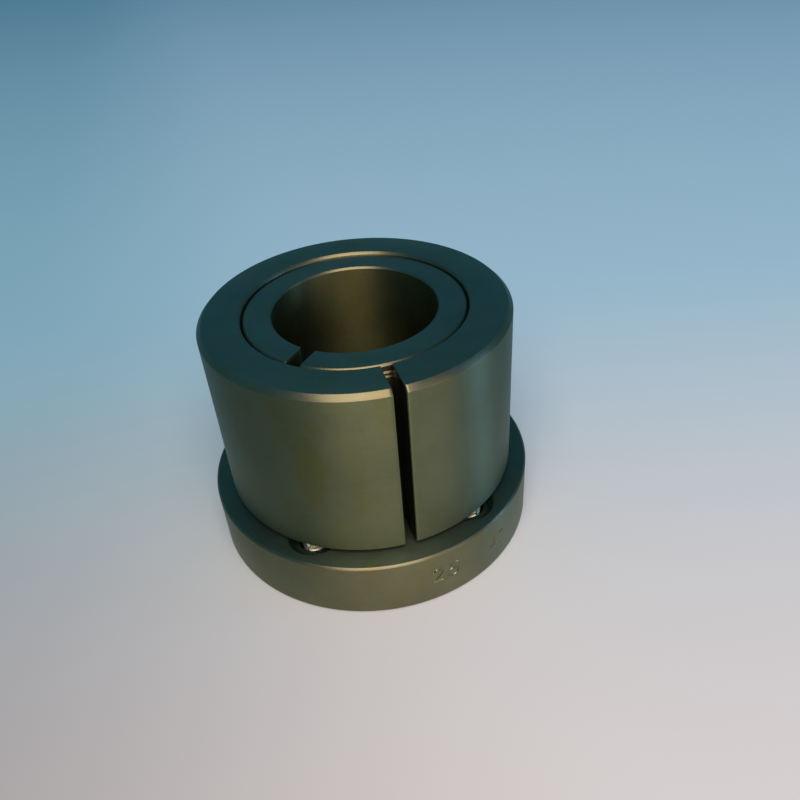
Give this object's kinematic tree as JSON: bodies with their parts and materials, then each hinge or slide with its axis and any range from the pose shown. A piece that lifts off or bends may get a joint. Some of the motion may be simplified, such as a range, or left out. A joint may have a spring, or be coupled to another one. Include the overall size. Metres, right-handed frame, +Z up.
{
  "type": "split taper clamp bushing",
  "caption": "Flanged keyless bushing: a split outer sleeve drawn down a split taper sleeve by screws in a flange, to clamp a hub on a shaft.",
  "frame": {"origin": "on the shaft axis at the flange's bottom face", "axes": "+Z up the shaft axis from the flange towards the sleeves, angles counter-clockwise from +X, the picture looks along +Y"},
  "size_m": [0.0526, 0.0526, 0.0387],
  "materials": {
    "outer_sleeve_steel": "ground, oiled, satin olive grey",
    "inner_sleeve_steel": "ground, oiled, satin blue grey",
    "flange_steel": "turned, oiled, satin olive grey",
    "screw_steel": "bright, satin"
  },
  "bodies": {
    "root": {"outer_sleeve": "outer_sleeve_steel", "inner_sleeve": "inner_sleeve_steel", "flange": "flange_steel", "clamp_screws": "screw_steel"}
  },
  "joints": []
}
